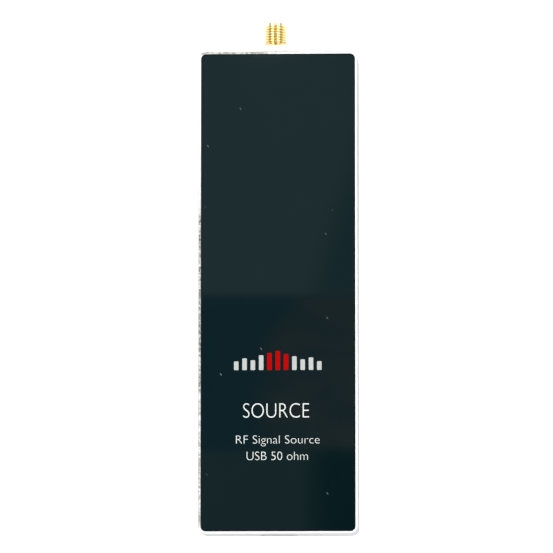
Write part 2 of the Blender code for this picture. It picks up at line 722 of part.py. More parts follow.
def make_shield():
    """Screening can in two parts, and the pad that carries its heat to the housing."""
    place = (0, SHIELD_Y, 0)
    top = PART_BASE + SHIELD_HEIGHT

    def outline(inset):
        width = SHIELD_WIDTH - 2 * inset
        length = SHIELD_LENGTH - 2 * inset
        return rounded_rectangle(width, length, SHIELD_RADIUS, FILLET_STEPS)

    outside = SHEET + PLATE_GAP
    inner = outline(outside + SHEET)
    frame = ring_mesh("shield_frame", outline(outside), inner, PART_BASE, top - SHEET - GAP)
    add_object("shield_frame", frame, "tin", place)
    lid_low = top - SHIELD_HEIGHT * LID_SKIRT
    lid_mesh = stacked_mesh("shield_lid", [(outline(0), lid_low), (outline(0), top)])
    lid = add_object("shield_lid", lid_mesh, "tin", place)
    inside = outline(SHEET)
    cut(lid, stacked_mesh("lid_inside", [(inside, lid_low - OVERCUT), (inside, top - SHEET)]), place)
    pad_low = top + GAP
    pad_high = CEILING - GAP
    pad = block_mesh("thermal_pad", PAD_SIZE, PAD_SIZE, pad_high - pad_low)
    add_object("thermal_pad", pad, "pad", (0, SHIELD_Y, (pad_low + pad_high) / 2))


# ---------------------------------------------------------------- assembly

def clear_scene():
    for old in list(bpy.data.objects):
        bpy.data.objects.remove(old, do_unlink=True)


def make_unit():
    clear_scene()
    carrier = bpy.data.objects.new("unit", None)
    bpy.context.scene.collection.objects.link(carrier)
    carrier.location = (0, UNIT_SHIFT, 0)
    make_housing()
    make_back_cover()
    make_front_plate()
    make_cover_screws()
    make_feet()
    make_circuit_board()
    make_board_screws()
    make_jack()
    make_usb()
    make_board_parts()
    make_shield()


make_unit()
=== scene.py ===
"""Looks for the USB signal generator: materials, fine geometry, print, studio light and camera.

Everything is in metres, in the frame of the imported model: X across the unit, Y along it
towards the coaxial jack, Z up through the front plate.
"""

import json
import math

import bmesh
import bpy
from mathutils import Matrix, Vector


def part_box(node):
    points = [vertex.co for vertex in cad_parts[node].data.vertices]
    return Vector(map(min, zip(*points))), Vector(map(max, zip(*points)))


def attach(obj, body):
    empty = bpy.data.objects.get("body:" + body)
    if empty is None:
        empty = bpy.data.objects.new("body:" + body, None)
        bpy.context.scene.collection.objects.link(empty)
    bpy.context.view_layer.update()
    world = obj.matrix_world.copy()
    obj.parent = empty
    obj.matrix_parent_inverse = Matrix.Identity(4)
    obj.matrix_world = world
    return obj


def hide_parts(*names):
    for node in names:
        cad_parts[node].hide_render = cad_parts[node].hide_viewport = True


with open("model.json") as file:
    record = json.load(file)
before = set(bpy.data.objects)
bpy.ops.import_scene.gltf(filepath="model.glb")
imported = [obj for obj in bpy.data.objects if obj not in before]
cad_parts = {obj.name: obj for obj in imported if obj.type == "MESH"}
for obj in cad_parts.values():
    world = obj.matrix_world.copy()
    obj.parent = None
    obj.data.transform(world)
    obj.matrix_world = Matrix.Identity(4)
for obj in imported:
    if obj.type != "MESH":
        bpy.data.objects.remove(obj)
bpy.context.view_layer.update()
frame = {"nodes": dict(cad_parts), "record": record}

BODY = "root"
MM = 0.001

# Boxes of the nodes that other sizes are worked out from.
PLATE_LOW, PLATE_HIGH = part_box("front_plate")
HOUSING_LOW, HOUSING_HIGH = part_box("housing")
BOARD_LOW, BOARD_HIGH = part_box("circuit_board")
JACK_LOW, JACK_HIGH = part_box("rf_jack_shell")
BEAD_LOW, BEAD_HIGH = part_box("rf_jack_insulator")
CONTACT_LOW, CONTACT_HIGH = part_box("rf_jack_contact")
TONGUE_LOW, TONGUE_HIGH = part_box("usb_tongue")

# Gap between faces that touch in the CAD, and how deep a shape reaches into the one that it grows from.
GAP = 0.3 * MM
OVERLAP = 0.05 * MM

# Camera: far off with a long lens, a little to the right of the unit and towards its lower end.
CAMERA_OFFSET = Vector((0.066, -0.146, 1.53))
CAMERA_TARGET = Vector((-0.0004, -0.00015, PLATE_HIGH.z))
VIEW_WIDTH = 0.1512
SENSOR_WIDTH = 36.0

# Case: blasted walls, darker than the rim as painted shade, and a bright rim. A painted dark reflection
# on the rim keeps its full strength for the first distance in from the case's outer edge, and is gone at
# the second.
SHADED_WALL_COLOR = (0.37, 0.374, 0.382)
SHADED_WALL_PALE = (0.42, 0.424, 0.432)
RIM_COLOR = (0.88, 0.885, 0.89)
# Colour of the rim's painted dark reflection, and how far in from the outer edge it fades.
RIM_SHADE_COLOR = (0.11, 0.105, 0.085)
RIM_SHADE_FULL = 0.7 * MM
RIM_SHADE_GONE = 1.2 * MM

# How strong the painted dark reflection on the rim is: (place along Y, level) on its left side, and
# (place along X, level) on its upper side.
LEFT_RIM_SHADE = (
    (-69.5 * MM, 0.20), (-66.5 * MM, 0.75), (-34 * MM, 0.68), (-28 * MM, 1.00),
    (15 * MM, 1.00), (21 * MM, 0.25), (32 * MM, 0.20), (36 * MM, 0.04),
)
TOP_RIM_SHADE = ((-6 * MM, 0.80), (1 * MM, 0.20))

# Plate: clean glass, the film of smears on it, its dust, and a painted shade line on its edge, below the
# top face.
GLASS_COLOR = (0.0010, 0.0071, 0.0086)
FILM_COLOR = (0.0020, 0.0082, 0.0097)
DUST_COLOR = (0.09, 0.115, 0.115)
DUST_SPACING = 7 * MM
DUST_LEAN = math.radians(55)
EDGE_SHADE_COLOR = (0.006, 0.008, 0.009)
EDGE_SHADE_START = 0.006 * MM
EDGE_SHADE_FULL = 0.012 * MM

# Gold plating: its deeper and paler tones, and the painted shade in the roots of the thread.
GOLD_DEEP = (1.0, 0.79, 0.52)
GOLD_PALE = (1.0, 0.84, 0.64)
GOLD_ROOT_SHADE = (0.78, 0.59, 0.15)

# Coaxial jack: square flange, barrel and stepped bore, round an axis along Y.
JACK_AXIS = Vector(((JACK_LOW.x + JACK_HIGH.x) / 2, 0, (JACK_LOW.z + JACK_HIGH.z) / 2))
JACK_TIP = JACK_HIGH.y
FLANGE_SIZE = JACK_HIGH.x - JACK_LOW.x
FLANGE_BACK = BEAD_LOW.y
FLANGE_FRONT = FLANGE_BACK + 2.0 * MM
FLANGE_CHAMFER = 0.15 * MM
BORE_RADIUS = 2.1 * MM
MOUTH_RADIUS = 2.3 * MM
LEG_WIDTH = 0.9 * MM
LEG_HEIGHT = 1.2 * MM
LEG_INSET = 0.8 * MM

# Its 1/4-36 thread. Crest and root are shares of half a turn. The thread grows over the run-in, out of a
# relief groove at the flange, and fades over the run-out into the smooth lead-in at the tip.
THREAD_RADIUS = 3.175 * MM
THREAD_PITCH = 25.4 * MM / 36
THREAD_DEPTH = 0.40 * MM
THREAD_CREST = 0.20
THREAD_ROOT = 0.88
THREAD_RUN_IN = 0.9 * THREAD_PITCH
THREAD_RUN_OUT = 0.8 * THREAD_PITCH
LEAD_IN = 0.9 * MM
LEAD_IN_DEPTH = THREAD_DEPTH * 1.05
RELIEF_DEPTH = LEAD_IN_DEPTH * 0.9
TIP_LENGTH = 0.25 * MM

# Its centre contact: a turned pin with a bore that four fingers lengthen, and a thin tab for solder. The
# slit between two fingers is given as a part turn.
CONTACT_RADIUS = 0.635 * MM
CONTACT_BORE = 0.47 * MM
CONTACT_BORE_DEPTH = 2.4 * MM
CONTACT_TAB = 0.3 * MM
CONTACT_CHAMFER = 0.1 * MM
FINGER_COUNT = 4
FINGER_LENGTH = 1.25 * MM
FINGER_CHAMFER = 0.06 * MM
FINGER_SLIT = 16 / 360

# USB tongue: the thickness of its blade, and the contact strips on both faces.
TONGUE_THICKNESS = 0.7 * MM
STRIP_COUNT = 12
STRIP_PITCH = 0.5 * MM
STRIP_WIDTH = 0.26 * MM
STRIP_THICKNESS = 0.05 * MM
STRIP_START = 0.7 * MM
STRIP_END = 3.6 * MM
POWER_STRIPS = (0, 3, 8, 11)
POWER_STRIP_START = 0.4 * MM

# Print: a layer of ink just above the plate.
INK_BASE = PLATE_HIGH.z + 0.004 * MM
INK_HEIGHT = 0.02 * MM
PRINT_CENTRE_X = (PLATE_LOW.x + PLATE_HIGH.x) / 2 - 0.05 * MM

# Level mark: bars on one base line. Their heights are shares of the tallest.
BAR_LEVELS = (0.46, 0.62, 0.52, 0.78, 0.90, 1.0, 0.84, 0.72, 0.56, 0.66, 0.46)
BAR_TALLEST = 5.2 * MM
BAR_WIDTH = 1.25 * MM
BAR_STEP = 2.27 * MM
BAR_CORNER = 0.225 * MM
BAR_BASE = PLATE_LOW.y + 43.9 * MM

# Lines of print: name, words, height, width, middle above the plate's lower edge, and how far its middle
# lies left of the print's centre. The strokes are thinned by a share of the letters' size.
PRINT_LINES = (
    ("print_title", "SOURCE", 3.95 * MM, 18.0 * MM, 32.85 * MM, 0.45 * MM),
    ("print_line_1", "RF Signal Source", 2.95 * MM, 22.8 * MM, 24.55 * MM, 0.0),
    ("print_line_2", "USB 50 ohm", 2.3 * MM, 16.7 * MM, 20.45 * MM, 0.15 * MM),
)
LETTER_THINNING = 0.019

# Lamps: name, angle from overhead towards the right in degrees, width and watts.
LAMPS = (
    ("lamp_left", -32, 0.40, 5.0),
    ("lamp_right", 31, 0.40, 4.6),
)
LAMP_REACH = 0.9
LAMP_LENGTH = 1.2

# Room: (height of a direction from 0 at the horizon to 1 overhead, brightness).
ROOM_LEVELS = ((0.05, 1.40), (0.20, 0.56), (0.40, 0.56), (0.60, 0.76), (0.90, 0.70))

FLOOR_REACH = 4.0
FLOOR_DROP = 0.2 * MM
FLOOR_GLOW = 0.50

# Overhead card: its height, how far it reaches past what the plate mirrors, and the blur of its borders.
CARD_HEIGHT = 0.6
CARD_MARGIN = 0.10
CARD_MARGIN_RIGHT = 6 * MM
CARD_MARGIN_HEAD = 0.22
CARD_BLUR = 1.6 * MM

# Its patches. Their places are shares of the width and length of the part that the plate mirrors.
CEILING_COLOR = (0.28, 0.405, 0.435)
LOWER_CEILING_COLOR = (0.155, 0.215, 0.225)
HOOD_COLOR = (0.07, 0.14, 0.22)
HOOD_TOP = 0.490
HOOD_FOOT = 0.168
HAZE_COLOR = (0.25, 0.21, 0.19)
HAZE_START = 0.30
HAZE_SLANT_START = 0.66
HAZE_SLANT = 0.87
SIDE_COLOR = (0.17, 0.26, 0.30)
SIDE_START = 0.72
SIDE_SLANT = 0.30
CORNER_COLOR = (0.025, 0.035, 0.035)
JACK_LAMP_COLOR = (4.2, 4.2, 6.5)
WARM_COLOR = (1.8, 1.42, 0.74)


# ---------------------------------------------------------------- node tools

def new_material(name):
    """A node material. Returns the material, its node tree and its Principled shader."""
    made = bpy.data.materials.new(name)
    made.use_nodes = True
    tree = made.node_tree
    return made, tree, tree.nodes["Principled BSDF"]


def set_shader(shader, color, roughness, metallic=0.0):
    """Sets a Principled shader's plain values."""
    shader.inputs["Base Color"].default_value = (*color, 1.0)
    shader.inputs["Roughness"].default_value = roughness
    shader.inputs["Metallic"].default_value = metallic
    shader.inputs["IOR"].default_value = 1.5


def add_node(tree, kind, **values):
    """Adds a node. Values named like an input set that input, and the others set the node."""
    node = tree.nodes.new(kind)
    for key, value in values.items():
        label = key.replace("_", " ")
        if label in node.inputs:
            node.inputs[label].default_value = value
        else:
            setattr(node, key, value)
    return node


def position(tree):
    """The point on the surface, in the frame's metres."""
    return add_node(tree, "ShaderNodeTexCoord").outputs["Object"]


def stretched(tree, vector, scale):
    """The vector with each axis multiplied."""
    node = add_node(tree, "ShaderNodeVectorMath", operation="MULTIPLY")
    tree.links.new(vector, node.inputs[0])
    node.inputs[1].default_value = scale
    return node.outputs[0]


def noise(tree, vector, size, detail=3.0, roughness=0.55):
    """Cloudy noise between 0 and 1, with features of the given size."""
    node = add_node(tree, "ShaderNodeTexNoise", Scale=1.0 / size, Detail=detail, Roughness=roughness)
    tree.links.new(vector, node.inputs["Vector"])
    return node.outputs["Fac"]


def flat_cells(tree, vector, size):
    """Distance in X and Y to the nearest random point, in cell sizes, and that point's colour."""
    node = add_node(tree, "ShaderNodeTexVoronoi", voronoi_dimensions="2D", Scale=1.0 / size)
    tree.links.new(vector, node.inputs["Vector"])
    return node.outputs["Distance"], node.outputs["Color"]


def remap(tree, value, low, high, new_low=0.0, new_high=1.0):
    """Straight remap of a value, held inside the new limits."""
    node = add_node(tree, "ShaderNodeMapRange")
    tree.links.new(value, node.inputs["Value"])
    node.inputs["From Min"].default_value = low
    node.inputs["From Max"].default_value = high
    node.inputs["To Min"].default_value = new_low
    node.inputs["To Max"].default_value = new_high
    return node.outputs["Result"]


def calculate(tree, operation, one, two=0.0):
    """A Math node on one or two values, each a socket or a number."""
    node = add_node(tree, "ShaderNodeMath", operation=operation)
    for index, value in enumerate((one, two)):
        if isinstance(value, (int, float)):
            node.inputs[index].default_value = value
        else:
            tree.links.new(value, node.inputs[index])
    return node.outputs[0]


def times(tree, one, two):
    """One value times another. Of two masks, it leaves what both cover."""
    return calculate(tree, "MULTIPLY", one, two)


def opposite(tree, mask):
    """What a mask doesn't cover."""
    return calculate(tree, "SUBTRACT", 1.0, mask)


def split(tree, vector):
    """The X, Y and Z of a vector."""
    node = add_node(tree, "ShaderNodeSeparateXYZ")
    tree.links.new(vector, node.inputs[0])
    return node.outputs


def blend_colors(tree, factor, one, two):
    """A colour between two, each a socket or an (r, g, b)."""
    node = add_node(tree, "ShaderNodeMix", data_type="RGBA")
    tree.links.new(factor, node.inputs[0])
    for index, value in ((6, one), (7, two)):
        if isinstance(value, tuple):
            node.inputs[index].default_value = (*value, 1.0)
        else:
            tree.links.new(value, node.inputs[index])
    return node.outputs[2]


def set_levels(ramp, levels):
    """Gives a Color Ramp node grey stops, listed as (place from 0 to 1, level)."""
    stops = ramp.color_ramp.elements
    while len(stops) > 1:
        stops.remove(stops[-1])
    for index, (place, level) in enumerate(levels):
        stop = stops.new(place) if index else stops[0]
        stop.position = place
        stop.color = (level, level, level, 1)


def along(tree, value, levels):
    """A value that changes over a distance, through (distance, level) points in rising order."""
    first = levels[0][0]
    last = levels[-1][0]
    ramp = add_node(tree, "ShaderNodeValToRGB")
    tree.links.new(remap(tree, value, first, last), ramp.inputs[0])
    set_levels(ramp, [((distance - first) / (last - first), level) for distance, level in levels])
    return ramp.outputs["Color"]


def bump(tree, shader, height, distance, strength):
    """Shades a surface as if a height of 1 stood out by the distance."""
    node = add_node(tree, "ShaderNodeBump", Strength=strength, Distance=distance)
    tree.links.new(height, node.inputs["Height"])
    tree.links.new(node.outputs["Normal"], shader.inputs["Normal"])


# ---------------------------------------------------------------- materials

def anodised_aluminium():
    """Clear anodised aluminium: blasted walls darkened as painted shade, and a bright machined rim with
    a painted dark reflection in places.
    """
    made, tree, shader = new_material("anodised_aluminium")
    set_shader(shader, SHADED_WALL_COLOR, 0.5, 1.0)
    place = position(tree)
    axis = split(tree, place)
    cloud = noise(tree, place, 9 * MM)
    # Side walls: blasted finish with a random tone, darkened as painted shade below the bright top face.
    shaded_wall = blend_colors(tree, remap(tree, cloud, 0.3, 0.7), SHADED_WALL_COLOR, SHADED_WALL_PALE)

    # Painted dark reflection on the rim, strongest along the middle of the left side and at the left of
    # the upper end.
    left = remap(tree, axis["X"], HOUSING_LOW.x + RIM_SHADE_FULL, HOUSING_LOW.x + RIM_SHADE_GONE, 1.0, 0.0)
    left = times(tree, left, along(tree, axis["Y"], LEFT_RIM_SHADE))
    top = remap(tree, axis["Y"], HOUSING_HIGH.y - RIM_SHADE_GONE, HOUSING_HIGH.y - RIM_SHADE_FULL)
    top = times(tree, top, along(tree, axis["X"], TOP_RIM_SHADE))
    speckle = remap(tree, noise(tree, place, 0.8 * MM, 4.0, 0.75), 0.42, 0.57, 0.28, 1.0)
    # The painted dark reflection is broken up into speckles.
    rim_shade = times(tree, calculate(tree, "MAXIMUM", left, top), speckle)
    rim = blend_colors(tree, rim_shade, RIM_COLOR, RIM_SHADE_COLOR)

    # The top face keeps the bright rim with its painted dark reflection. The walls below it take the
    # painted shade.
    top_face = remap(tree, axis["Z"], HOUSING_HIGH.z - 0.03 * MM, HOUSING_HIGH.z - 0.01 * MM)
    tree.links.new(blend_colors(tree, top_face, shaded_wall, rim), shader.inputs["Base Color"])
    tree.links.new(remap(tree, cloud, 0.3, 0.7, 0.46, 0.54), shader.inputs["Roughness"])
    bump(tree, shader, noise(tree, place, 0.12 * MM, 2.0), 0.006 * MM, 0.6)
    return made


def front_glass():
    """Dark teal glass with faint smears and dust, and a painted shade line on its edge."""
    made, tree, shader = new_material("front_glass")
    set_shader(shader, GLASS_COLOR, 0.03)
    place = position(tree)
    smear = noise(tree, stretched(tree, place, (1.0, 0.45, 1.0)), 16 * MM, 4.0, 0.6)
    fine = noise(tree, place, 2.2 * MM, 4.0, 0.65)
    film = times(tree, remap(tree, smear, 0.45, 0.75), remap(tree, fine, 0.35, 0.7))

    slant = add_node(tree, "ShaderNodeVectorRotate", rotation_type="Z_AXIS", Angle=DUST_LEAN)
    tree.links.new(place, slant.inputs["Vector"])
    lengthened = stretched(tree, slant.outputs[0], (0.35, 1.0, 1.0))
    distance, random_color = flat_cells(tree, lengthened, DUST_SPACING)
    chance = split(tree, random_color)
    speck = remap(tree, distance, 0.012, 0.026, 1.0, 0.0)
    dust = times(tree, speck, times(tree, remap(tree, chance["X"], 0.60, 0.61), chance["Y"]))

    height = split(tree, place)["Z"]
    # Painted shade line: below the top face the chamfer turns near-black metal, which hides its
    # reflection.
    edge = remap(tree, height, PLATE_HIGH.z - EDGE_SHADE_FULL, PLATE_HIGH.z - EDGE_SHADE_START, 1.0, 0.0)
    color = blend_colors(tree, film, GLASS_COLOR, FILM_COLOR)
    color = blend_colors(tree, dust, color, DUST_COLOR)
    color = blend_colors(tree, edge, color, EDGE_SHADE_COLOR)
    rough = remap(tree, film, 0.0, 1.0, 0.03, 0.045)
    rough = calculate(tree, "ADD", rough, times(tree, dust, 0.4))
    rough = calculate(tree, "MAXIMUM", rough, times(tree, edge, 0.5))
    tree.links.new(color, shader.inputs["Base Color"])
    tree.links.new(rough, shader.inputs["Roughness"])
    tree.links.new(edge, shader.inputs["Metallic"])
    bump(tree, shader, noise(tree, place, 30 * MM, 1.0), 0.010 * MM, 0.15)
    return made


def turned_gold():
    """Gold plating over turned brass, with painted shade in the roots of the thread."""
    made, tree, shader = new_material("turned_gold")
    set_shader(shader, GOLD_DEEP, 0.15, 1.0)
    place = position(tree)
    axis = split(tree, place)
    mottle = noise(tree, place, 0.8 * MM)
    color = blend_colors(tree, remap(tree, mottle, 0.3, 0.7), GOLD_DEEP, GOLD_PALE)

    across = calculate(tree, "SUBTRACT", axis["X"], JACK_AXIS.x)
    above = calculate(tree, "SUBTRACT", axis["Z"], JACK_AXIS.z)
    squares = calculate(tree, "ADD", times(tree, across, across), times(tree, above, above))
    radius = calculate(tree, "SQRT", squares)
    # Painted shade in the thread's roots, outside the bore and up to where the thread ends.
    deep_shade = remap(tree, radius, THREAD_RADIUS - 0.34 * MM, THREAD_RADIUS - 0.14 * MM, 1.0, 0.0)
    outside = remap(tree, radius, MOUTH_RADIUS + 0.1 * MM, MOUTH_RADIUS + 0.2 * MM)
    thread_end = JACK_TIP - LEAD_IN
    before_end = remap(tree, axis["Y"], thread_end - 0.1 * MM, thread_end + 0.1 * MM, 1.0, 0.0)
    root = times(tree, deep_shade, times(tree, outside, before_end))
    tree.links.new(blend_colors(tree, root, color, GOLD_ROOT_SHADE), shader.inputs["Base Color"])

    smoother_flange = remap(tree, axis["Y"], FLANGE_FRONT - 0.1 * MM, FLANGE_FRONT, 0.5, 1.0)
    rough = times(tree, remap(tree, mottle, 0.3, 0.7, 0.11, 0.19), smoother_flange)
    tree.links.new(rough, shader.inputs["Roughness"])
    marks = noise(tree, stretched(tree, place, (0.12, 1.0, 0.12)), 0.05 * MM, 2.0)
    bump(tree, shader, marks, 0.0015 * MM, 0.5)
    return made


def board_laminate():
    """Green solder resist, paler and raised where a track runs under it."""
    made, tree, shader = new_material("board_laminate")
    set_shader(shader, (0.010, 0.085, 0.045), 0.4)
    wave = noise(tree, stretched(tree, position(tree), (1.0, 0.35, 1.0)), 2.4 * MM, 2.0)
    bands = calculate(tree, "FRACT", times(tree, wave, 14.0))
    track = remap(tree, bands, 0.45, 0.55)
    color = blend_colors(tree, track, (0.008, 0.070, 0.038), (0.018, 0.120, 0.060))
    tree.links.new(color, shader.inputs["Base Color"])
    bump(tree, shader, track, 0.02 * MM, 0.5)
    return made


def plain_finish(name, color, other, roughness, metallic=0.0, grain=0.2 * MM):
    """A finish of one colour that drifts to another, with grain."""
    made, tree, shader = new_material(name)
    set_shader(shader, color, roughness, metallic)
    place = position(tree)
    cloud = noise(tree, place, grain * 14)
    mixed = blend_colors(tree, remap(tree, cloud, 0.35, 0.65), color, other)
    tree.links.new(mixed, shader.inputs["Base Color"])
    rough = remap(tree, cloud, 0.3, 0.7, roughness * 0.88, min(1.0, roughness * 1.12))
    tree.links.new(rough, shader.inputs["Roughness"])
    bump(tree, shader, noise(tree, place, grain), 0.004 * MM, 0.6)
    return made


def ink(name, color, other):
    """Flat screen-print ink with little gloss."""
    made = plain_finish(name, color, other, 0.65, grain=0.05 * MM)
    made.node_tree.nodes["Principled BSDF"].inputs["Specular IOR Level"].default_value = 0.02
    return made


# Plain finishes: name, colour, the colour it drifts to, roughness, and for some how metallic and how
# coarse they are.
PLAIN_FINISHES = (
    ("bonding_tape", (0.018, 0.018, 0.019), (0.03, 0.03, 0.03), 0.8),
    ("ptfe", (0.88, 0.88, 0.86), (0.80, 0.80, 0.77), 0.5),
    ("screw_steel", (0.58, 0.58, 0.57), (0.46, 0.46, 0.45), 0.3, 1.0, 0.08 * MM),
    ("shell_steel", (0.70, 0.70, 0.69), (0.60, 0.60, 0.60), 0.28, 1.0, 0.06 * MM),
    ("foot_rubber", (0.022, 0.022, 0.023), (0.035, 0.035, 0.035), 0.8),
    ("tinned_steel", (0.74, 0.74, 0.71), (0.64, 0.64, 0.62), 0.34, 1.0),
    ("black_resin", (0.022, 0.022, 0.024), (0.034, 0.034, 0.035), 0.55, 0.0, 0.05 * MM),
    ("thermal_pad", (0.30, 0.42, 0.56), (0.36, 0.47, 0.58), 0.85),
    ("filter_ceramic", (0.78, 0.75, 0.68), (0.70, 0.67, 0.60), 0.5),
    ("tantalum_resin", (0.72, 0.40, 0.07), (0.64, 0.34, 0.05), 0.45),
    ("ferrite", (0.07, 0.07, 0.075), (0.11, 0.11, 0.11), 0.6),
)

MATERIALS = {
    "anodised_aluminium": anodised_aluminium(),
    "front_glass": front_glass(),
    "gold_plate": turned_gold(),
    "board_laminate": board_laminate(),
    "white_ink": ink("white_ink", (0.72, 0.75, 0.72), (0.66, 0.69, 0.66)),
    "grey_ink": ink("grey_ink", (0.46, 0.48, 0.46), (0.42, 0.44, 0.42)),
    "red_ink": ink("red_ink", (0.39, 0.001, 0.001), (0.36, 0.001, 0.001)),
}
for plain in PLAIN_FINISHES:
    MATERIALS[plain[0]] = plain_finish(*plain)


def dress_nodes():
    """Gives every CAD node the material of its slot."""
    for part in frame["record"]["subparts"]:
        mesh = frame["nodes"][part["node"]].data
        mesh.materials.clear()
        mesh.materials.append(MATERIALS[part["material_slot"]])


# ---------------------------------------------------------------- mesh tools

def add_object(name, data):
    """A new object in the scene."""
    made = bpy.data.objects.new(name, data)
    bpy.context.scene.collection.objects.link(made)
    return made


def add_piece(name, work, finish):
    """Turns a bmesh into a piece that rides on the unit, smooth except at sharp edges."""
    bmesh.ops.recalc_face_normals(work, faces=work.faces)
    mesh = bpy.data.meshes.new(name)
    work.to_mesh(mesh)
    work.free()
    mesh.shade_smooth()
    mesh.set_sharp_from_angle(angle=math.radians(30))
    mesh.materials.append(MATERIALS[finish])
    piece = add_object(name, mesh)
    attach(piece, BODY)
    return piece


def join_rings(work, rings):
    """Faces from each ring of points to the next."""
    for one, two in zip(rings, rings[1:]):
        count = len(one)
        for index in range(count):
            after = (index + 1) % count
            work.faces.new((one[index], one[after], two[after], two[index]))


def add_block(work, low, high, chamfer):
    """A box with chamfered edges, inside a larger mesh."""
    place = Matrix.Translation((low + high) / 2) @ Matrix.Diagonal((*(high - low), 1))
    made = bmesh.ops.create_cube(work, size=1, matrix=place)
    edges = {edge for vert in made["verts"] for edge in vert.link_edges}
    bmesh.ops.bevel(work, geom=list(edges), offset=chamfer, segments=2, affect="EDGES", profile=0.5)


# ---------------------------------------------------------------- coaxial jack

def jack_point(work, radius, height, turn):
    """A point of the jack, by its distance from the axis, its place along Y and its part turn."""
    angle = 2 * math.pi * turn
    x = JACK_AXIS.x + radius * math.cos(angle)
    z = JACK_AXIS.z + radius * math.sin(angle)
    return work.verts.new((x, height, z))


def round_ring(work, radius, height, steps):
    """A circle of points round the jack's axis."""
    return [jack_point(work, radius, height, step / steps) for step in range(steps)]


def square_ring(work, half, height, steps):
    """A square of points round the jack's axis, at even angles."""
    ring = []
    for step in range(steps):
        angle = 2 * math.pi * step / steps
        reach = half / max(abs(math.cos(angle)), abs(math.sin(angle)))
        ring.append(jack_point(work, reach, height, step / steps))
    return ring


def held(share):
    """A share, held between 0 and 1."""
    return min(max(share, 0.0), 1.0)


def thread_radius(height, turn):
    """Outside radius of the barrel at a height and a part turn. The thread fades at both ends."""
    phase = (height / THREAD_PITCH - turn) % 1.0
    slope = abs(phase - 0.5) * 2
    depth = THREAD_DEPTH * held((slope - THREAD_CREST) / (THREAD_ROOT - THREAD_CREST))
    start = held((height - FLANGE_FRONT) / THREAD_RUN_IN)
    end = held((JACK_TIP - LEAD_IN - height) / THREAD_RUN_OUT)
    depth = depth * end + LEAD_IN_DEPTH * (1 - end)
    return THREAD_RADIUS - depth * start - RELIEF_DEPTH * (1 - start)


def add_barrel(work):
    """Threaded barrel with a rounded tip, and a bore that is wider in front of the bead."""
    steps = 72
    per_turn = 12
    base = FLANGE_FRONT - OVERLAP
    rows = int((JACK_TIP - TIP_LENGTH - FLANGE_FRONT) / THREAD_PITCH * per_turn)
    rings = []
    for row in range(rows + 1):
        height = base + row * THREAD_PITCH / per_turn
        ring = []
        for step in range(steps):
            turn = step / steps
            ring.append(jack_point(work, thread_radius(height, turn), height, turn))
        rings.append(ring)
    tip_radius = THREAD_RADIUS - LEAD_IN_DEPTH
    tip_and_bore = (
        (tip_radius - 0.06 * MM, JACK_TIP - 0.05 * MM),
        (tip_radius - 0.16 * MM, JACK_TIP),
        (MOUTH_RADIUS + 0.08 * MM, JACK_TIP),
        (MOUTH_RADIUS, JACK_TIP - 0.10 * MM),
        (MOUTH_RADIUS, BEAD_HIGH.y + 0.03 * MM),
        (BORE_RADIUS, BEAD_HIGH.y),
        (BORE_RADIUS, base),
    )
    for radius, height in tip_and_bore:
        rings.append(round_ring(work, radius, height, steps))
    join_rings(work, rings + rings[:1])


def add_flange(work):
    """Square flange with chamfered edges and a round way through for the bead."""
    steps = 64
    half = FLANGE_SIZE / 2
    rings = [
        round_ring(work, BORE_RADIUS, FLANGE_BACK, steps),
        square_ring(work, half - FLANGE_CHAMFER, FLANGE_BACK, steps),
        square_ring(work, half, FLANGE_BACK + FLANGE_CHAMFER, steps),
        square_ring(work, half, FLANGE_FRONT - FLANGE_CHAMFER, steps),
        square_ring(work, half - FLANGE_CHAMFER, FLANGE_FRONT, steps),
        round_ring(work, BORE_RADIUS, FLANGE_FRONT, steps),
    ]
    join_rings(work, rings + rings[:1])


def add_legs(work):
    """Four solder legs, two above the board's edge and two below it."""
    levels = (
        (BOARD_HIGH.z + GAP, BOARD_HIGH.z + GAP + LEG_HEIGHT),
        (JACK_LOW.z + 0.1 * MM, BOARD_LOW.z - GAP),
    )
    reach = FLANGE_SIZE / 2 - LEG_INSET - LEG_WIDTH / 2
    for side in (-1, 1):
        x = JACK_AXIS.x + side * reach
        for base, top in levels:
            low = Vector((x - LEG_WIDTH / 2, JACK_LOW.y, base))
            high = Vector((x + LEG_WIDTH / 2, FLANGE_BACK + 0.2 * MM, top))
            add_block(work, low, high, 0.08 * MM)


def make_jack_shell():
    """Shell of the jack: barrel, flange and solder legs."""
    work = bmesh.new()
    add_barrel(work)
    add_flange(work)
    add_legs(work)
    shell = add_piece("rf_jack_barrel", work, "gold_plate")
    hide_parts("rf_jack_shell")


def add_finger(work, start, sweep):
    """One sprung finger of the centre contact: a slice of a tube. Start and sweep are part turns."""
    steps = 6
    tip = CONTACT_HIGH.y
    base = tip - FINGER_LENGTH - OVERLAP
    profile = (
        (CONTACT_BORE, base),
        (CONTACT_RADIUS, base),
        (CONTACT_RADIUS, tip - FINGER_CHAMFER),
        (CONTACT_RADIUS - FINGER_CHAMFER, tip),
        (CONTACT_BORE + FINGER_CHAMFER, tip),
        (CONTACT_BORE, tip - FINGER_CHAMFER),
    )
    slices = []
    for step in range(steps + 1):
        turn = start + sweep * step / steps
        slices.append([jack_point(work, radius, height, turn) for radius, height in profile])
    join_rings(work, slices)
    work.faces.new(slices[0])
    work.faces.new(reversed(slices[-1]))


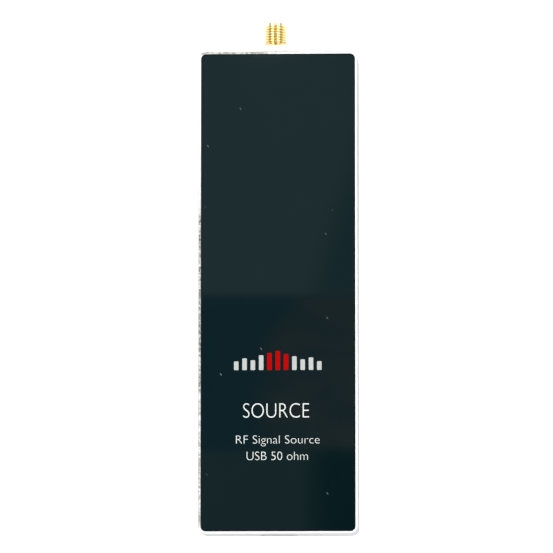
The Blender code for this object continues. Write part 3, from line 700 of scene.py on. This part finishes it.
def make_jack_contact():
    """Centre contact: a turned pin with a socket that is slit into four fingers."""
    work = bmesh.new()
    finger_root = CONTACT_HIGH.y - FINGER_LENGTH
    shoulder = FLANGE_BACK + 0.2 * MM
    profile = (
        (CONTACT_BORE, CONTACT_HIGH.y - CONTACT_BORE_DEPTH),
        (CONTACT_BORE, finger_root),
        (CONTACT_RADIUS, finger_root),
        (CONTACT_RADIUS, shoulder + CONTACT_CHAMFER),
        (CONTACT_RADIUS - CONTACT_CHAMFER, shoulder),
        (CONTACT_TAB, shoulder),
        (CONTACT_TAB, CONTACT_LOW.y + CONTACT_CHAMFER),
        (CONTACT_TAB - CONTACT_CHAMFER, CONTACT_LOW.y),
    )
    rings = [round_ring(work, radius, height, 32) for radius, height in profile]
    join_rings(work, rings)
    work.faces.new(rings[0])
    work.faces.new(rings[-1])
    for index in range(FINGER_COUNT):
        start = (index + 0.5) / FINGER_COUNT + FINGER_SLIT / 2
        add_finger(work, start, 1 / FINGER_COUNT - FINGER_SLIT)
    contact = add_piece("rf_jack_socket_pin", work, "gold_plate")
    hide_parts("rf_jack_contact")


# ---------------------------------------------------------------- USB receptacle

def make_usb_contacts():
    """Gilded contact strips on both faces of the tongue, the four power ones a little longer."""
    work = bmesh.new()
    middle = (TONGUE_LOW + TONGUE_HIGH) / 2
    for index in range(STRIP_COUNT):
        x = middle.x + (index - (STRIP_COUNT - 1) / 2) * STRIP_PITCH
        start = POWER_STRIP_START if index in POWER_STRIPS else STRIP_START
        for side in (-1, 1):
            z = middle.z + side * TONGUE_THICKNESS / 2
            low = Vector((x - STRIP_WIDTH / 2, TONGUE_LOW.y + start, z - STRIP_THICKNESS / 2))
            high = Vector((x + STRIP_WIDTH / 2, TONGUE_LOW.y + STRIP_END, z + STRIP_THICKNESS / 2))
            add_block(work, low, high, 0.012 * MM)
    add_piece("usb_contacts", work, "gold_plate")


# ---------------------------------------------------------------- print on the plate

def raise_faces(work):
    """Makes flat faces into a closed layer of ink."""
    for vert in work.verts:
        vert.co.z = INK_BASE
    made = bmesh.ops.extrude_face_region(work, geom=list(work.faces), use_keep_orig=True)
    for item in made["geom"]:
        if isinstance(item, bmesh.types.BMVert):
            item.co.z = INK_BASE + INK_HEIGHT


def letter_faces(name, words):
    """The words as flat faces, at any size and place."""
    curve = bpy.data.curves.new(name, "FONT")
    curve.body = words
    curve.resolution_u = 6
    curve.offset = -LETTER_THINNING
    text = add_object(name, curve)
    bpy.context.view_layer.update()
    mesh = bpy.data.meshes.new_from_object(text.evaluated_get(bpy.context.evaluated_depsgraph_get()))
    bpy.data.objects.remove(text)
    return mesh


def add_words(name, words, height, width, y, left):
    """A line of raised ink of a given height and width, with its middle at y and left of the centre."""
    mesh = letter_faces(name, words)
    xs = [vert.co.x for vert in mesh.vertices]
    ys = [vert.co.y for vert in mesh.vertices]
    grow_x = width / (max(xs) - min(xs))
    grow_y = height / (max(ys) - min(ys))
    middle_x = (max(xs) + min(xs)) / 2
    middle_y = (max(ys) + min(ys)) / 2
    for vert in mesh.vertices:
        vert.co.x = PRINT_CENTRE_X - left + (vert.co.x - middle_x) * grow_x
        vert.co.y = y + (vert.co.y - middle_y) * grow_y
    work = bmesh.new()
    work.from_mesh(mesh)
    bpy.data.meshes.remove(mesh)
    bmesh.ops.remove_doubles(work, verts=work.verts, dist=0.0005 * MM)
    raise_faces(work)
    add_piece(name, work, "white_ink")


def add_bar(name, x, height, finish):
    """One bar of the level mark: a flat strip of ink with slightly round corners."""
    work = bmesh.new()
    steps = 4
    outline = []
    for corner, (side_x, side_y) in enumerate(((1, 1), (-1, 1), (-1, -1), (1, -1))):
        centre_x = x + side_x * (BAR_WIDTH / 2 - BAR_CORNER)
        centre_y = BAR_BASE + height / 2 + side_y * (height / 2 - BAR_CORNER)
        for step in range(steps + 1):
            angle = (corner + step / steps) * math.pi / 2
            point_x = centre_x + BAR_CORNER * math.cos(angle)
            point_y = centre_y + BAR_CORNER * math.sin(angle)
            outline.append(work.verts.new((point_x, point_y, 0)))
    work.faces.new(outline)
    raise_faces(work)
    add_piece(name, work, finish)


def make_print():
    """A generic level mark with red middle bars, over lines of generic words."""
    middle = len(BAR_LEVELS) // 2
    for index, level in enumerate(BAR_LEVELS):
        finish = "red_ink" if abs(index - middle) <= 1 else "grey_ink"
        x = PRINT_CENTRE_X + (index - middle) * BAR_STEP
        add_bar(f"level_bar_{index + 1}", x, BAR_TALLEST * level, finish)
    for name, words, height, width, rise, left in PRINT_LINES:
        add_words(name, words, height, width, PLATE_LOW.y + rise, left)


# ---------------------------------------------------------------- studio

def aim(place, target):
    """Rotation that looks from place to target with the frame's Y upwards in the picture."""
    back = (place - target).normalized()
    right = Vector((0, 1, 0)).cross(back).normalized()
    up = back.cross(right)
    return Matrix((right, up, back)).transposed().to_euler()


def make_camera():
    """The camera, which looks straight at its target."""
    data = bpy.data.cameras.new("camera")
    data.sensor_width = SENSOR_WIDTH
    data.lens = SENSOR_WIDTH * CAMERA_OFFSET.length / VIEW_WIDTH
    data.clip_start = 0.05
    data.clip_end = 20.0
    camera = add_object("camera", data)
    camera.location = CAMERA_TARGET + CAMERA_OFFSET
    camera.rotation_euler = aim(camera.location, CAMERA_TARGET)
    bpy.context.scene.camera = camera


def make_lights():
    """Two long lamps over the left and the right side, as on a copy stand."""
    for name, degrees, width, watts in LAMPS:
        data = bpy.data.lights.new(name, "AREA")
        data.shape = "RECTANGLE"
        data.size = width
        data.size_y = LAMP_LENGTH
        data.energy = watts
        angle = math.radians(degrees)
        lamp = add_object(name, data)
        lamp.location = (LAMP_REACH * math.sin(angle), 0.0, LAMP_REACH * math.cos(angle))
        lamp.rotation_euler = aim(lamp.location, Vector((0, 0, 0)))
        lamp.visible_camera = False


def make_world():
    """Bright room, palest at the horizon and dimmer just above it."""
    world = bpy.data.worlds.new("room")
    bpy.context.scene.world = world
    world.use_nodes = True
    tree = world.node_tree
    direction = add_node(tree, "ShaderNodeTexCoord").outputs["Generated"]
    ramp = add_node(tree, "ShaderNodeValToRGB")
    tree.links.new(split(tree, direction)["Z"], ramp.inputs[0])
    set_levels(ramp, ROOM_LEVELS)
    tree.links.new(ramp.outputs["Color"], tree.nodes["Background"].inputs["Color"])


def add_panel(name, low_x, high_x, low_y, high_y, material):
    """A flat rectangle of the studio."""
    mesh = bpy.data.meshes.new(name)
    corners = ((low_x, low_y, 0), (high_x, low_y, 0), (high_x, high_y, 0), (low_x, high_y, 0))
    mesh.from_pydata(corners, [], [(0, 1, 2, 3)])
    mesh.materials.append(material)
    return add_object(name, mesh)


def make_floor():
    """Pale floor, a little luminous like a light table."""
    made, _, shader = new_material("pale_floor")
    set_shader(shader, (0.90, 0.90, 0.90), 0.7)
    shader.inputs["Emission Color"].default_value = (1, 1, 1, 1)
    shader.inputs["Emission Strength"].default_value = FLOOR_GLOW
    floor = add_panel("studio_floor", -FLOOR_REACH, FLOOR_REACH, -FLOOR_REACH, FLOOR_REACH, made)
    floor.location.z = -FLOOR_DROP


def card_point(x, y):
    """Where the camera sees a point of the plate mirrored in the overhead card."""
    eye = CAMERA_TARGET + CAMERA_OFFSET
    share = (CARD_HEIGHT - PLATE_HIGH.z) / (eye.z - PLATE_HIGH.z)
    return x + (x - eye.x) * share, y + (y - eye.y) * share


def card_glow(tree, left, right, foot, head):
    """Colour of the card. It is laid out between the edges of the part that the plate mirrors."""
    place = position(tree)
    axis = split(tree, place)
    width = right - left
    length = head - foot
    hood_top = foot + HOOD_TOP * length
    side = left + SIDE_START * width
    jack_left, jack_back = card_point(JACK_LOW.x, FLANGE_BACK)
    jack_right = card_point(JACK_HIGH.x, FLANGE_BACK)[0]

    def past(value, middle, blur=CARD_BLUR):
        """1 beyond a border across the card, 0 before it."""
        return remap(tree, value, middle - blur, middle + blur)

    def slanted(slant):
        """X, as measured from borders that slant to the right above the top of the hood."""
        rise = calculate(tree, "SUBTRACT", axis["Y"], hood_top)
        return calculate(tree, "SUBTRACT", axis["X"], times(tree, rise, slant))

    below_top = opposite(tree, past(axis["Y"], hood_top))
    above_foot = past(axis["Y"], foot + HOOD_FOOT * length)
    color = blend_colors(tree, below_top, CEILING_COLOR, LOWER_CEILING_COLOR)

    side_panel = times(tree, past(slanted(SIDE_SLANT), side, 5 * MM), opposite(tree, below_top))
    color = blend_colors(tree, side_panel, color, SIDE_COLOR)

    hood = times(tree, below_top, above_foot)
    color = blend_colors(tree, hood, color, HOOD_COLOR)

    haze = past(axis["X"], left + HAZE_START * width + 6 * MM, 8 * MM)
    haze = times(tree, haze, past(slanted(HAZE_SLANT), left + HAZE_SLANT_START * width, 6 * MM))
    cloud = noise(tree, stretched(tree, place, (0.5, 1.0, 1.0)), 12 * MM, 2.0)
    haze = times(tree, times(tree, hood, haze), remap(tree, cloud, 0.35, 0.60, 0.35, 1.0))
    color = blend_colors(tree, haze, color, HAZE_COLOR)

    corner = times(tree, past(axis["X"], side, 5 * MM), opposite(tree, above_foot))
    color = blend_colors(tree, corner, color, CORNER_COLOR)

    over_jack = times(
        tree, past(axis["X"], jack_left - 3 * MM), opposite(tree, past(axis["X"], jack_right + 3 * MM)),
    )
    over_jack = times(tree, over_jack, past(axis["Y"], jack_back + 0.6 * MM, 0.5 * MM))
    color = blend_colors(tree, over_jack, color, JACK_LAMP_COLOR)
    return blend_colors(tree, past(axis["Y"], jack_back + 6.2 * MM, 0.8 * MM), color, WARM_COLOR)


def make_overhead_card():
    """What the front mirrors, and nothing but reflections sees.

    A pale ceiling with a dark camera hood across it, a dim panel at the right and lamps over the jack.
    """
    made = bpy.data.materials.new("overhead_card")
    made.use_nodes = True
    tree = made.node_tree
    tree.nodes.clear()
    output = add_node(tree, "ShaderNodeOutputMaterial")
    glow = add_node(tree, "ShaderNodeEmission")
    tree.links.new(glow.outputs[0], output.inputs[0])
    left, foot = card_point(PLATE_LOW.x, PLATE_LOW.y)
    right, head = card_point(PLATE_HIGH.x, PLATE_HIGH.y)
    tree.links.new(card_glow(tree, left, right, foot, head), glow.inputs["Color"])
    low_x = left - CARD_MARGIN
    high_x = right + CARD_MARGIN_RIGHT
    low_y = foot - CARD_MARGIN
    high_y = head + CARD_MARGIN_HEAD
    card = add_panel("overhead_card", low_x, high_x, low_y, high_y, made)
    card.location.z = CARD_HEIGHT
    card.visible_camera = False
    card.visible_diffuse = False
    card.visible_shadow = False
    card.visible_transmission = False


make_camera()
dress_nodes()
make_jack_shell()
make_jack_contact()
make_usb_contacts()
make_print()
make_lights()
make_world()
make_floor()
make_overhead_card()
bpy.context.scene.view_settings.view_transform = "Standard"
